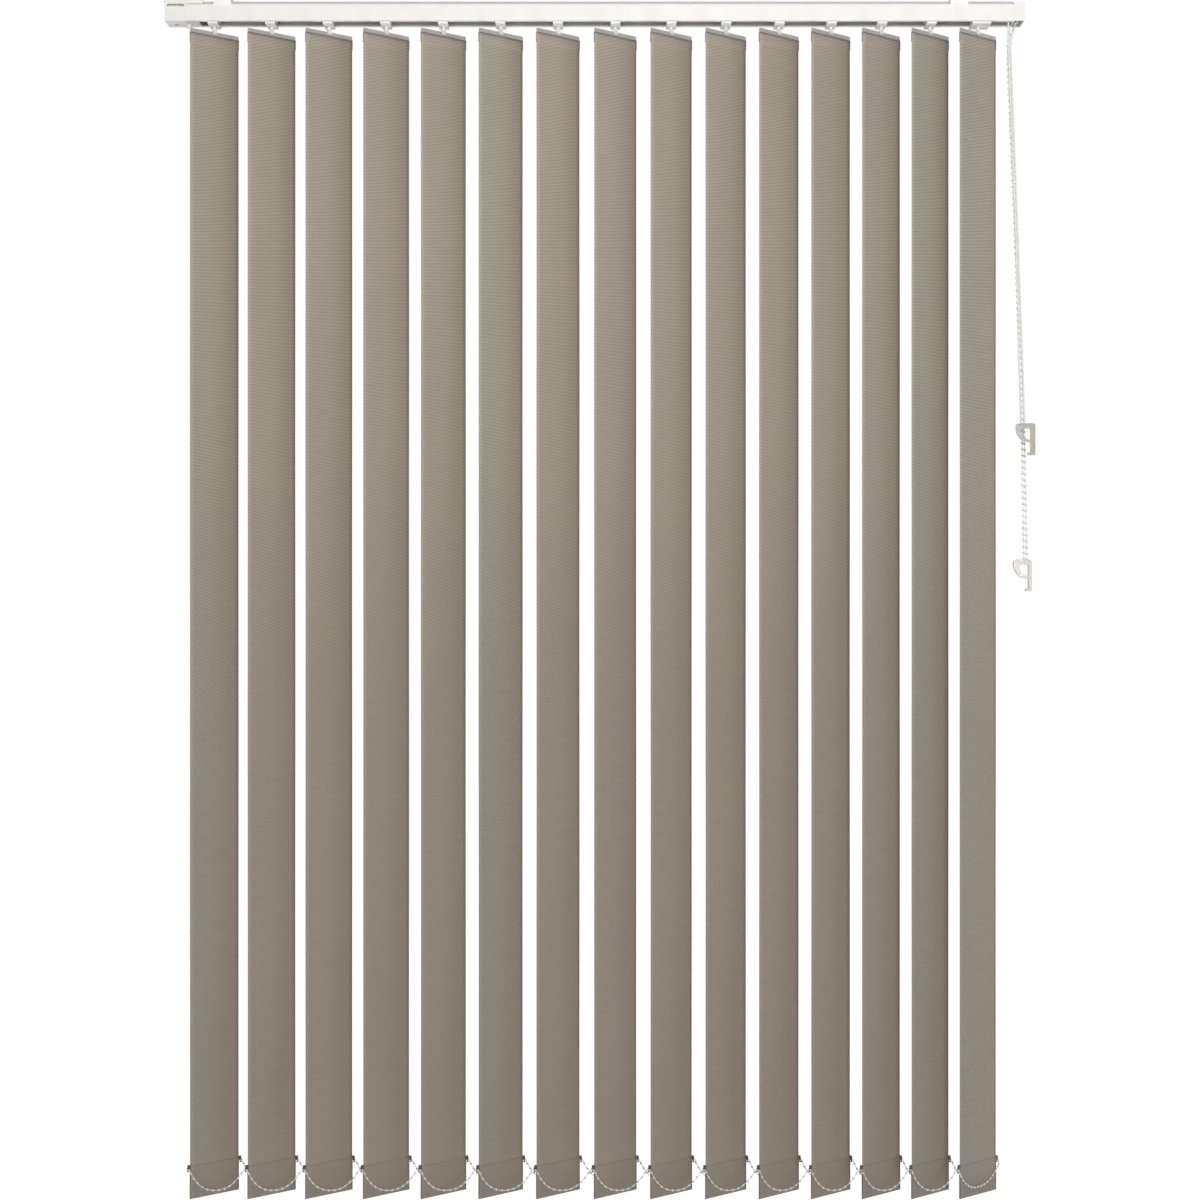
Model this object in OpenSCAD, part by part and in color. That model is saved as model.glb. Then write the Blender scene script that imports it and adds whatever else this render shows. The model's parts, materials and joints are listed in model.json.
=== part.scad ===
// Vertical blind: a ceiling-hung rail with fifteen fabric vanes that turn and travel.
// Millimetres. x runs along the rail, y away from the room, z up.
// The origin lies on the ceiling, midway between the two ceiling brackets.

/* [Head rail] */
// length of the rail between its two end caps
rail_l = 1139.5; // [1130:0.5:1160]
// depth of the rail from front to back
rail_d = 48; // [48:0.5:54]
// height of the rail
rail_h = 26.5; // [26.5:0.5:29]
// wall thickness of the rail
rail_wall = 1.5; // [1.2:0.1:1.6]
// width of the lip on each side of the bottom slot
lip_w = 8; // [7:0.5:8]
// length of the end cap on the side where the vanes stack
idler_cap_l = 28; // [26:0.5:34]
// length of the end cap on the control side
control_cap_l = 15.5; // [14:0.5:20]

/* [Ceiling brackets] */
// distance between the screws of the two brackets
bracket_spacing = 1013; // [1000:1:1020]
// width of each bracket along the rail
bracket_w = 25; // [20:0.5:32]
// radius of the screw hole
screw_r = 2.5; // [2:0.1:3]

/* [Vanes] */
// width of each vane
vane_w = 89; // [85:0.5:92]
// thickness of the cloth
cloth_t = 0.5; // [0.4:0.05:0.5]
// height of the lowest edge of the vanes below the ceiling
drop = 1650; // [1400:5:2200]
// angle of the vanes to the window, 0 is shut
vane_angle = 49.3; // [35:0.1:70]
// distance between two carriers when drawn right out
pitch = 79.2; // [78:0.1:79.5]
// how much each of the last seven gaps is closed up more than the one before
pitch_fall = 1.9; // [1.5:0.1:2]
// height of the hem at the bottom of each vane
hem_h = 45; // [42:0.5:60]

/* [Link chains] */
// how far each chain hangs down between two vanes
chain_sag = 28; // [20:0.5:30]
// radius of a bead
bead_r = 1.55; // [1.4:0.05:1.7]
// distance between beads along the chain
bead_pitch = 8; // [7:0.1:9]

/* [Cord and chain controls] */
// radius of the draw cord
cord_r = 1.1; // [0.9:0.05:1.2]
// height of the cord's hold-down below the ceiling
cord_hold_z = 584.7; // [500:0.1:700]
// height of the control chain's hold-down below the ceiling
chain_hold_z = 772; // [720:0.1:900]

/* [Hidden] */
$fn = 48;
// levels from the ceiling down
rail_top = -5;
rail_bot = rail_top - rail_h;
lip_top = rail_bot + rail_wall;
rail_x0 = -558;
rail_x1 = rail_x0 + rail_l;
slot_w = rail_d - 2 * lip_w;
groove_z = -9;
lip_under = -6.2;
// carriers: block through the slot, foot below the rail, wheels on the lips
truck_w = 13.4;
truck_d = slot_w - 1.2;
truck_top = -13;
foot_top = rail_bot - 0.5;
foot_bot = foot_top - 3;
lead_left = 9.9;
lead_right = 15.7;
first_x = rail_x0 + 37.6;
// room kept at the control end when drawn right out
lead_stop = 46.3;
// the last gaps close up more and more, and the rail takes as many vanes as it has room for
close_gaps = 7;
close_up = pitch_fall * close_gaps * (close_gaps + 1) / 2;
vane_count = 1 + floor((rail_x1 - lead_stop - first_x + close_up) / pitch + 0.001);
// spacer strips lie above the carriers, each a level below the one before
strip_t = 0.25;
strip_low = truck_top + 0.3;
strip_step = (rail_top - rail_wall - strip_t - 0.49 - strip_low) / (vane_count - 2);
// tilt rod, its worms, and the wheels on the stems
rod_y = 10;
rod_z = -20;
rod_r = 2.8;
worm_r = 4.2;
gear_r = 5.5;
gear_teeth = 20;
stem_r = 2.75;
gear_top = -17;
gear_bot = -23.7;
// hangers and weights in the top and bottom pockets of the cloth
hanger_t = 1.2;
hanger_top = foot_bot - 8;
hanger_h = 17;
cloth_top = hanger_top - 5.5;
pocket_half = hanger_t / 2 + 0.05;
vane_bot = -drop;
hem_top = vane_bot + hem_h;
// pins for the link chains on the ends of the weights
tab_top = hem_top - 1;
tab_t = 2.2;
pin_u = vane_w / 2 + 4;
pin_r = 0.9;
pin_bot = tab_top - tab_t - 3;
ring_h = 1.1;
ring_r = 2.7;
end_ring_r = 2.1;
// how far a chain's lowest bead lies from the middle, 1 is in the middle
chain_lean = 0.9;
chain_round = 2.4;
ring_z = tab_top - tab_t - 0.3;
end_ring_z = ring_z - ring_h - 0.3;
// cord runs inside the rail and the pulleys they turn on
cord_front_y = -12.6;
cord_back_y = -9;
cord_z = -20;
pulley_x = rail_x1 - 9.7;
pulley_z = -24;
pulley_turn = 4;
return_x = rail_x0 - 10;
return_y = (cord_front_y + cord_back_y) / 2;
return_turn = 4.2;
// control chain and its wheel
wheel_x = rail_x1 + 6.2;
wheel_turn = 6.5;
cap_wall = 1.6;
chain_r = 1.5;

// the draw cord: round the return pulley, along the rail, over a pulley and down, and back
cord_low = -cord_hold_z - 0.9;
cord_low_x = rail_x1 + 14.1;
cord_loop = 2.6;
cord_route = concat(
    [for (a = [181 : 22.2 : 271])
        [return_x + return_turn * cos(a), return_y + return_turn * sin(a), cord_z]],
    [[return_x + 14, cord_front_y - 1.6, cord_z], [return_x + 40, cord_front_y, cord_z],
     [first_x, cord_front_y, cord_z], [0, cord_front_y, cord_z]],
    [for (a = [90 : -22.5 : 0])
        [pulley_x + pulley_turn * cos(a), cord_front_y, pulley_z + pulley_turn * sin(a)]],
    [[rail_x1 - 6.3, cord_front_y, -36], [rail_x1 - 6.9, -12.2, -50],
     [rail_x1 + 3, -11.5, (cord_low - 50) / 2]],
    [for (a = [180 : 36 : 360])
        [cord_low_x + cord_loop * cos(a), -11, cord_low + cord_loop * sin(a)]],
    [[rail_x1 + 6, -10.5, (cord_low - 50) / 2], [rail_x1 - 3.9, -9.8, -50],
     [rail_x1 - 5.2, cord_back_y, -36]],
    [for (a = [0 : 22.5 : 90])
        [pulley_x + pulley_turn * cos(a), cord_back_y, pulley_z + pulley_turn * sin(a)]],
    [[0, cord_back_y, cord_z], [first_x, cord_back_y, cord_z],
     [return_x + 40, cord_back_y, cord_z], [return_x + 14, cord_back_y + 1.6, cord_z]],
    [for (a = [89 : 22.2 : 179])
        [return_x + return_turn * cos(a), return_y + return_turn * sin(a), cord_z]]
);
// the control chain: over its wheel, down to its hold-down and back up
chain_low = -chain_hold_z - 0.2;
chain_low_x = rail_x1 + 20.1;
chain_loop = 3;
chain_route = concat(
    [for (a = [91 : 17.8 : 180])
        [wheel_x, rod_y + wheel_turn * cos(a), rod_z + wheel_turn * sin(a)]],
    [[wheel_x - 0.1, rod_y - wheel_turn, -31], [wheel_x - 2.7, 3.4, -41],
     [rail_x1 - 2.9, 3.2, -60], [rail_x1 - 3.7, 3.2, -76], [rail_x1 - 1.1, 3.6, -150],
     [rail_x1 + 6.5, 6, (chain_low - 50) / 2]],
    [for (a = [180 : 36 : 360])
        [chain_low_x + chain_loop * cos(a), 10 + 0.8 * cos(a), chain_low + chain_loop * sin(a)]],
    [[rail_x1 + 12.2, 13.8, (chain_low - 50) / 2], [rail_x1 + 3.2, 15.6, -150],
     [rail_x1 + 0.4, 15.9, -76], [rail_x1 + 1, 16, -60], [wheel_x - 2, 16.3, -41],
     [wheel_x - 0.1, rod_y + wheel_turn, -31]],
    [for (a = [0 : 17.8 : 89])
        [wheel_x, rod_y + wheel_turn * cos(a), rod_z + wheel_turn * sin(a)]]
);

function two(i) = i < 10 ? str("0", i) : str(i);
function gap(k) = pitch - pitch_fall * max(0, k - (vane_count - 1 - close_gaps));
function vane_x(i) = i <= 1 ? first_x : vane_x(i - 1) + gap(i - 1);
function pin_point(i, end) = [
    vane_x(i) + end * pin_u * cos(vane_angle),
    end * pin_u * sin(vane_angle),
    ring_z - ring_h / 2
];
function strip_z(i) = strip_low + (vane_count - 1 - i) * strip_step;
function unit(v) = v / norm(v);
function tangent(p, i) = unit(p[min(i + 1, len(p) - 1)] - p[max(i - 1, 0)]);
function across(p, i) = i == 0
    ? unit(cross(tangent(p, 0), [0.21, 0.43, 0.88]))
    : let (t = tangent(p, i), s = across(p, i - 1)) unit(s - t * (t * s));

// a box given by its lowest and highest corner
module box(a, b) {
    translate(a) cube(b - a);
}

// a profile drawn in y and z, pushed out along x
module along_x(x0, x1) {
    translate([x0, 0, 0]) rotate([90, 0, 90]) linear_extrude(x1 - x0) children();
}

// a round bar or bore along x or y
module bar_x(x0, x1, y, z, r) {
    translate([x0, y, z]) rotate([0, 90, 0]) cylinder(h = x1 - x0, r = r);
}
module bar_y(y0, y1, x, z, r) {
    translate([x, y1, z]) rotate([90, 0, 0]) cylinder(h = y1 - y0, r = r);
}

// a plain tube along a row of points
module tube(p, r, sides = 8) {
    n = len(p);
    rings = [for (i = [0 : n - 1])
        let (t = tangent(p, i), s = across(p, i), b = cross(t, s))
        for (k = [0 : sides - 1])
            p[i] + r * (cos(360 * k / sides) * s + sin(360 * k / sides) * b)];
    walls = [for (i = [0 : n - 2], k = [0 : sides - 1])
        let (a = i * sides + k, b = i * sides + (k + 1) % sides)
        each [[a, a + sides, b], [b, a + sides, b + sides]]];
    ends = [[for (k = [0 : sides - 1]) k],
            [for (k = [sides - 1 : -1 : 0]) (n - 1) * sides + k]];
    polyhedron(points = rings, faces = concat(walls, ends));
}

module rail_profile() {
    half = rail_d / 2;
    difference() {
        union() {
            translate([-half, rail_bot]) square([rail_d, groove_z - rail_bot]);
            translate([-half + 2.8, groove_z - 1]) square([rail_d - 5.6, rail_top - groove_z + 1]);
            translate([-half + 1.4, lip_under]) square([rail_d - 2.8, rail_top - lip_under]);
        }
        translate([-half + rail_wall, lip_top])
            square([rail_d - 2 * rail_wall, groove_z - 2 - lip_top]);
        translate([-half + 2.8 + rail_wall, lip_top])
            square([rail_d - 5.6 - 2 * rail_wall, rail_top - rail_wall - lip_top]);
        translate([-slot_w / 2, rail_bot - 1]) square([slot_w, rail_wall + 2]);
    }
}

module head_rail() {
    color([0.95, 0.94, 0.91]) along_x(rail_x0, rail_x1) rail_profile();
}

module bracket_profile() {
    half = rail_d / 2;
    translate([-half - 1.4, -2]) square([rail_d + 2.8, 2]);
    for (s = [-1, 1]) {
        translate([s * (half + 0.7) - 0.7, groove_z - 1.2]) square([1.4, -groove_z + 1.2]);
        translate([s * (half - 0.7) - 1.3, lip_under - 1.8]) square([2.6, 1.8]);
    }
}

module ceiling_brackets() {
    color([0.97, 0.97, 0.95])
    for (s = [-1, 1])
        difference() {
            along_x(s * bracket_spacing / 2 - bracket_w / 2, s * bracket_spacing / 2 + bracket_w / 2)
                bracket_profile();
            translate([s * bracket_spacing / 2, 0, -3]) cylinder(h = 4, r = screw_r);
        }
}

module idler_end_cap() {
    half = rail_d / 2;
    x0 = rail_x0 - idler_cap_l;
    color([0.95, 0.94, 0.91]) {
        difference() {
            union() {
                box([x0, -half, rail_bot], [rail_x0, half, rail_top]);
                // tongues that grip the rail's walls
                for (s = [-1, 1])
                    box([rail_x0 - 1, s * (half - rail_wall - 1) - 0.9, lip_top + 0.4],
                        [rail_x0 + 14, s * (half - rail_wall - 1) + 0.9, groove_z - 3]);
                // cover of the slot's end, with its round knob
                box([rail_x0 - 1, -slot_w / 2 + 0.5, rail_bot],
                    [rail_x0 + 18, slot_w / 2 - 0.5, lip_top]);
                translate([rail_x0 + 3, 0, rail_bot - 5.5]) cylinder(h = 6, r = 4.2);
                // saddle over the rail's top
                box([x0 - 1.3, -half - 1.3, rail_top], [rail_x0 + 25, half + 1.3, rail_top + 2]);
                for (s = [-1, 1])
                    box([x0 - 1.3, s * (half + 0.65) - 0.65, groove_z + 0.6],
                        [rail_x0 + 25, s * (half + 0.65) + 0.65, rail_top + 1]);
            }
            // dark gap under the saddle
            box([x0 + 3.5, -half - 1, groove_z - 2.7], [rail_x0 - 1.5, -half + 9, groove_z + 0.4]);
            // gap underneath
            box([x0 + 10, 1, rail_bot - 1], [x0 + 15.5, 9, rail_bot + 3]);
            // seat of the tilt rod
            bar_x(rail_x0 - 9, rail_x0 + 1, rod_y, rod_z, rod_r + 0.05);
            // pocket of the return pulley
            translate([return_x, return_y, cord_z - 3.3]) cylinder(h = 6.6, r = return_turn + 2.2);
            box([return_x, return_y - return_turn - 2.2, cord_z - 3.3],
                [rail_x0 + 1, return_y + return_turn + 2.2, cord_z + 3.3]);
        }
        translate([return_x, return_y, cord_z - 4]) cylinder(h = 8, r = 1.5);
    }
}

module control_end_cap() {
    half = rail_d / 2;
    color([0.95, 0.94, 0.91])
    difference() {
        union() {
            box([rail_x1, -half, rail_bot], [rail_x1 + control_cap_l, half, rail_top - 1.2]);
            // tongues that grip the rail's walls
            for (s = [-1, 1])
                box([rail_x1 - 16, s * (half - rail_wall - 1) - 0.9, lip_top + 0.4],
                    [rail_x1 + 1, s * (half - rail_wall - 1) + 0.9, groove_z - 3]);
            // arm and axle of the cord pulleys
            box([rail_x1 - 16, -6.8, lip_top + 0.4], [rail_x1 + 1, -5, groove_z - 3]);
            bar_y(-14.6, -6, pulley_x, pulley_z, 1.5);
        }
        // seat of the tilt rod
        bar_x(rail_x1 - 1, rail_x1 + cap_wall + 1, rod_y, rod_z, rod_r + 0.05);
        // hollow in the top, with a step along its front edge
        box([rail_x1 + 2, -half + 2, groove_z], [rail_x1 + control_cap_l - 2, half - 2, rail_top + 1]);
        // open underneath, with room for the chain wheel
        box([rail_x1 + cap_wall, -half + 2, rail_bot - 1],
            [rail_x1 + control_cap_l - cap_wall, half - 2, groove_z - cap_wall]);
    }
}

module tilt_rod() {
    color([0.75, 0.76, 0.78])
    along_x(rail_x0 - 8.5, wheel_x + 4.8)
        translate([rod_y, rod_z])
            difference() {
                circle(r = rod_r);
                for (a = [0 : 120 : 240])
                    rotate(a) translate([rod_r - 0.6, -0.5]) square([1, 1]);
            }
}

module chain_wheel() {
    color([0.93, 0.93, 0.9])
    translate([wheel_x, rod_y, rod_z]) rotate([0, 90, 0])
        difference() {
            union() {
                translate([0, 0, -4]) cylinder(h = 8, r = wheel_turn - 2.3);
                for (s = [-1, 1])
                    translate([0, 0, s * 3.2 - 0.8]) cylinder(h = 1.6, r = wheel_turn + 2.2);
            }
            translate([0, 0, -5]) cylinder(h = 10, r = rod_r + 0.04);
            for (a = [0 : 45 : 315])
                rotate(a) translate([wheel_turn + 2.8, 0, -5]) cylinder(h = 10, r = 1.6);
        }
}

module grooved_wheel(turn, thick) {
    groove = cord_r + 0.2;
    rotate_extrude()
        difference() {
            translate([1.55, -thick / 2]) square([turn - 0.35, thick]);
            translate([turn, 0]) circle(r = groove);
            translate([turn, -groove]) square([groove + 1, 2 * groove]);
        }
}

module front_cord_pulley() {
    color([0.9, 0.9, 0.88])
    translate([pulley_x, cord_front_y, pulley_z]) rotate([90, 0, 0]) grooved_wheel(pulley_turn, 3.3);
}

module rear_cord_pulley() {
    color([0.9, 0.9, 0.88])
    translate([pulley_x, cord_back_y, pulley_z]) rotate([90, 0, 0]) grooved_wheel(pulley_turn, 3.3);
}

module return_pulley() {
    color([0.9, 0.9, 0.88])
    translate([return_x, return_y, cord_z]) grooved_wheel(return_turn, 4.4);
}

module draw_cord() {
    color([0.9, 0.88, 0.83]) tube(cord_route, cord_r);
}

module control_chain() {
    color([0.92, 0.91, 0.88]) tube(chain_route, chain_r);
}

// one hold-down: a leg to screw to the wall, and a bowl that keeps the loop stretched
module hold_down() {
    leg = 4.3;
    round_r = 3;
    translate([0, 6, 0]) rotate([90, 0, 0])
        difference() {
            linear_extrude(12)
                difference() {
                    polygon(concat(
                        [for (a = [0 : 18 : 90]) round_r * [cos(a) - 1, sin(a) - 1]],
                        [for (a = [90 : 18 : 180]) [-20 + 5.2 * cos(a), -5.5 + 5.5 * sin(a)]],
                        [for (a = [15 : 15 : 90]) [-8.5 - 16.7 * cos(a), -5.5 - 20.7 * sin(a)]],
                        [[-leg, -26.2], [-leg, -40.3], [-8.2, -40.3], [-8.2, -43.8], [0, -43.8]]
                    ));
                    polygon(concat(
                        [for (a = [0 : 18 : 90]) [-leg, -7] + round_r * [cos(a) - 1, sin(a) - 1]],
                        [[-15.2, -7]],
                        [for (a = [0 : 15 : 90]) [-7.5 - 9.9 * cos(a), -9 - 13.6 * sin(a)]],
                        [[-leg, -22.6]]
                    ));
                }
            translate([-20.5, -5, 3.2]) cube([16.2, 6, 5.6]);
            translate([-5, -33, 6]) rotate([0, 90, 0]) cylinder(h = 6, r = 2);
        }
}

module cord_hold_down() {
    color([0.86, 0.84, 0.8])
    translate([cord_low_x, -11, -cord_hold_z]) rotate([0, 0, -25]) translate([16.5, 0, 0]) hold_down();
}

module chain_hold_down() {
    color([0.86, 0.84, 0.8])
    translate([chain_low_x + 9, 10, -chain_hold_z]) hold_down();
}

// a carrier: block, foot, two wheels and the post that the spacers ride on
module truck_block(w0, w1, post_top) {
    difference() {
        union() {
            box([-w0, -truck_d / 2, foot_top - 0.1], [w1, truck_d / 2, truck_top]);
            box([-w0, -rail_d / 2 + 1.5, foot_bot], [w1, rail_d / 2 - 1.5, foot_top]);
            for (s = [-1, 1]) {
                bar_y(s * 17.9 - 1.9, s * 17.9 + 1.9, 0, lip_top + 4.8, 4.5);
                bar_y(s * 15.5 - 1, s * 15.5 + 1, 0, lip_top + 4.8, 2);
            }
            translate([0, 0, truck_top - 1]) cylinder(h = post_top - truck_top + 1, r = 2);
        }
        // room for the wheel on the stem, and the stem's bore
        translate([0, 0, gear_bot - 0.3]) cylinder(h = gear_top - gear_bot + 0.6, r = gear_r + 0.6);
        translate([0, 0, foot_bot - 1]) cylinder(h = gear_bot - foot_bot + 1, r = stem_r + 0.35);
        // room for the worm, and the rod's bore
        bar_x(-5.2, 5.2, rod_y, rod_z, worm_r + 0.3);
        bar_x(-w0 - 1, w1 + 1, rod_y, rod_z, rod_r + 0.5);
        // window for the two runs of the cord
        box([-w0 - 1, cord_front_y - 1.7, cord_z - 1.7], [w1 + 1, cord_back_y + 1.7, cord_z + 1.7]);
    }
}

// the worm on the tilt rod, with its ridges
module worm() {
    translate([-4.9, rod_y, rod_z]) rotate([0, 90, 0])
        rotate_extrude()
            polygon(concat(
                [[rod_r + 0.5, 0]],
                [for (k = [0 : 5]) each [[worm_r - 0.7, k * 1.8], [worm_r, k * 1.8 + 0.4],
                                         [worm_r, k * 1.8 + 0.8]]],
                [[rod_r + 0.5, 9.8]]
            ));
}

// a spacer: a strip with a long slot, whose end pulls the next carrier by its post
module spacer(i) {
    z = strip_z(i);
    difference() {
        box([-5, -5, z], [pitch + 7, 5, z + strip_t]);
        box([6, -2.5, z - 1], [pitch + 3, 2.5, z + 1]);
        translate([0, 0, z - 1]) cylinder(h = 2, r = 2.05);
    }
}

module truck(i) {
    color([0.94, 0.94, 0.91])
    translate([vane_x(i), 0, 0]) {
        // the post ends just above the strip that pulls this carrier
        post_top = strip_z(max(1, i - 1)) + strip_t + 0.07;
        if (i == vane_count) truck_block(lead_left, lead_right, post_top);
        else truck_block(truck_w / 2, truck_w / 2, post_top);
        worm();
        if (i < vane_count) spacer(i);
    }
}

// the stem with its toothed wheel, and the forked hook that holds the hanger
module stem() {
    difference() {
        union() {
            translate([0, 0, hanger_top + 3]) cylinder(h = gear_bot - hanger_top - 2.5, r = stem_r);
            translate([0, 0, gear_bot])
                linear_extrude(gear_top - gear_bot)
                    polygon([for (k = [0 : gear_teeth - 1], q = [0.06, 0.44, 0.62, 0.88])
                        let (a = 360 * (k + q) / gear_teeth, r = q < 0.5 ? gear_r : gear_r - 0.8)
                        [r * cos(a), r * sin(a)]]);
            box([-2.6, -1.9, hanger_top + 0.4], [2.6, 1.9, hanger_top + 3.5]);
            box([-3.7, -1.9, hanger_top - 3], [3.7, 1.9, hanger_top + 0.5]);
        }
        box([-5, -hanger_t / 2 - 0.05, hanger_top - 4], [5, hanger_t / 2 + 0.05, hanger_top + 0.1]);
    }
    // peg through the hanger
    bar_y(-1.5, 1.5, 0, hanger_top - 1.6, 0.8);
}

module hanger() {
    w = vane_w - 0.6;
    difference() {
        box([-w / 2, -hanger_t / 2, hanger_top - hanger_h], [w / 2, hanger_t / 2, hanger_top]);
        bar_y(-3, 3, 0, hanger_top - 1.6, 0.9);
        for (s = [-1, 1])
            translate([s * w / 2, 0, hanger_top])
                rotate([0, 45, 0]) cube([1.4, 4, 1.4], center = true);
    }
}

// the flat weight in the hem, with a pin for the link chain on each end
module weight() {
    w = vane_w - 3;
    box([-w / 2, -hanger_t / 2, vane_bot + 4], [w / 2, hanger_t / 2, tab_top]);
    for (s = [-1, 1]) {
        box([s * (pin_u + w / 2 - 2) / 2 - (pin_u - w / 2 + 2) / 2, -hanger_t / 2, tab_top - tab_t],
            [s * (pin_u + w / 2 - 2) / 2 + (pin_u - w / 2 + 2) / 2, hanger_t / 2, tab_top]);
        translate([s * pin_u, 0, tab_top - tab_t]) cylinder(h = tab_t, r = 1.4);
        // square head of the clip, outside the cloth's edge
        box([s * (pin_u + vane_w / 2 + 0.4) / 2 - 1.8, -1.2, tab_top - tab_t],
            [s * (pin_u + vane_w / 2 + 0.4) / 2 + 1.8, 1.2, tab_top + 3.2]);
        translate([s * pin_u, 0, pin_bot]) cylinder(h = tab_top - tab_t - pin_bot + 0.5, r = pin_r);
        translate([s * pin_u, 0, pin_bot - 1]) cylinder(h = 1, r = 1.45);
    }
}

module vane_fittings(i) {
    color([0.8, 0.79, 0.76])
    translate([vane_x(i), 0, 0]) rotate([0, 0, vane_angle]) {
        stem();
        hanger();
        weight();
        if (i == vane_count) end_loop();
    }
}

// a vane: one sheet of cloth, doubled over the hanger and round the weight
module vane(i) {
    out = pocket_half + cloth_t;
    color([0.6, 0.55, 0.5])
    translate([vane_x(i), 0, 0]) rotate([0, 0, vane_angle])
        translate([-vane_w / 2, 0, 0]) rotate([90, 0, 90])
            linear_extrude(vane_w)
                difference() {
                    union() {
                        translate([-cloth_t / 2, vane_bot]) square([cloth_t, cloth_top - vane_bot]);
                        translate([-out, cloth_top - 14]) square([2 * out, 14]);
                        translate([-out, vane_bot]) square([2 * out, hem_h]);
                    }
                    translate([-pocket_half, cloth_top - 13.5]) square([2 * pocket_half, 20]);
                    translate([-pocket_half, vane_bot + cloth_t])
                        square([2 * pocket_half, hem_h - 2 * cloth_t]);
                }
}

// bead chains: points at even steps along a hanging curve from a to b
function hang(a, b, sag, t) =
    let (fall = pow(t, chain_lean))
    a + t * (b - a) - [0, 0, sag * (1 - pow(abs(2 * fall - 1), chain_round))];
function hang_table(a, b, sag, n = 60, i = 1, s = 0, out = [[0, 0]]) = i > n ? out :
    let (d = norm(hang(a, b, sag, i / n) - hang(a, b, sag, (i - 1) / n)))
    hang_table(a, b, sag, n, i + 1, s + d, concat(out, [[s + d, i / n]]));

// one hanging length of chain with its beads, between the points a and b
module drape(a, b, sag) {
    table = hang_table(a, b, sag);
    total = table[len(table) - 1][0];
    n = floor((total - 5) / bead_pitch);
    first = (total - n * bead_pitch) / 2;
    beads = [for (k = [0 : n]) hang(a, b, sag, lookup(first + k * bead_pitch, table))];
    for (p = beads) translate(p) rotate([0, 0, 90]) sphere(r = bead_r, $fn = 16);
    line = concat([a], beads, [b]);
    for (k = [0 : len(line) - 2]) thread(line[k], line[k + 1]);
}

module thread(a, b) {
    d = b - a;
    translate(a)
        rotate([0, acos(d[2] / norm(d)), atan2(d[1], d[0])])
            cylinder(h = norm(d), r = 0.5, $fn = 16);
}

module ring(p, outer) {
    translate(p)
        difference() {
            cylinder(h = ring_h, r = outer, center = true);
            cylinder(h = ring_h + 1, r = pin_r + 0.3, center = true);
        }
}

// all the lengths of one chain, from pin to pin
module link_chain(end) {
    for (i = [1 : vane_count]) {
        p = pin_point(i, end);
        ring(p, ring_r);
        if (i < vane_count)
            drape(p + [2.1, 0, 0], pin_point(i + 1, end) - [3.4, 0, 0], chain_sag);
    }
}

module front_link_chain() {
    color([0.95, 0.95, 0.92]) link_chain(-1);
}

module rear_link_chain() {
    color([0.95, 0.95, 0.92]) link_chain(1);
}

// the chain's end, led round the front of the last vane from one pin to the other
module end_loop() {
    off = -pocket_half - cloth_t - bead_r - 0.4;
    z = end_ring_z - ring_h / 2;
    for (s = [-1, 1]) {
        ring([s * pin_u, 0, z], end_ring_r);
        thread([s * pin_u, 0.15 - end_ring_r, z], [s * pin_u, off, z - 4]);
        translate([s * pin_u, off, z - 4]) rotate([90, 0, 0]) sphere(r = bead_r, $fn = 16);
    }
    drape([-pin_u, off, z - 4], [pin_u, off, z - 4], chain_sag - 4);
}

head_rail();
ceiling_brackets();
idler_end_cap();
control_end_cap();
tilt_rod();
chain_wheel();
front_cord_pulley();
rear_cord_pulley();
return_pulley();
draw_cord();
control_chain();
cord_hold_down();
chain_hold_down();
front_link_chain();
rear_link_chain();
for (i = [1 : vane_count]) {
    truck(i);
    vane_fittings(i);
    vane(i);
}
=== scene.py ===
"""Looks of the vertical blind: cloth vanes, cords, bead chains, finishes, light and camera."""
import json
import math
import random

import bpy
import numpy as np
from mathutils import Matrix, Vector


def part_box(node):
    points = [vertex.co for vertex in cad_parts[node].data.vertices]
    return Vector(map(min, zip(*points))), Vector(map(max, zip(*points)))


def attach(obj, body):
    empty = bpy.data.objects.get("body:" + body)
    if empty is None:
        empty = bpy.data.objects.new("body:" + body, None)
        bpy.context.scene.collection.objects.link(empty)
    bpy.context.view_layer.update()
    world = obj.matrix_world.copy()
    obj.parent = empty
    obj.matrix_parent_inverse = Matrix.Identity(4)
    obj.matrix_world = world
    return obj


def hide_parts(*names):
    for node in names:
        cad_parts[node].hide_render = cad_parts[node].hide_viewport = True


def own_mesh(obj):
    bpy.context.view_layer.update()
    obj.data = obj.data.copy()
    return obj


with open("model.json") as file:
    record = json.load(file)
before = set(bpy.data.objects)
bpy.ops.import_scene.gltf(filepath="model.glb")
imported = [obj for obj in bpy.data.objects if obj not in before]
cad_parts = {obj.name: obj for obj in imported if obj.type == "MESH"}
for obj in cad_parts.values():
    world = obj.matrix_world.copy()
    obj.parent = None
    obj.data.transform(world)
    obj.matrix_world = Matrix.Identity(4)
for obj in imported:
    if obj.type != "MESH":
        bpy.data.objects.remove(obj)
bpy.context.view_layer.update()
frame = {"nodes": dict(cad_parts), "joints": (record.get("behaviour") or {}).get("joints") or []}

# Sizes in metres, in the frame's own axes: x along the rail, y away from the room, z up.
MM = 0.001
VANES = 15

# Link chains: the sag's lowest point leans to the first pin, and its foot is rounder than a parabola.
LINK_SAG = 28 * MM
LINK_LEAN = 0.9
LINK_ROUND = 2.4
LINK_BEAD_R = 1.55 * MM
LINK_PITCH = 8 * MM
LINK_BARE = 5 * MM
RING_INNER = 1.2 * MM
RING_OUTER = 2.7 * MM
RING_H = 1.1 * MM
RING_SOFT = 0.25 * MM
THREAD_START = 2.1 * MM
THREAD_END = 2.6 * MM
THREAD_R = 0.5 * MM
THREAD_SIDES = 6
BEAD_SIDES, BEAD_RINGS = 12, 8

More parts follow.
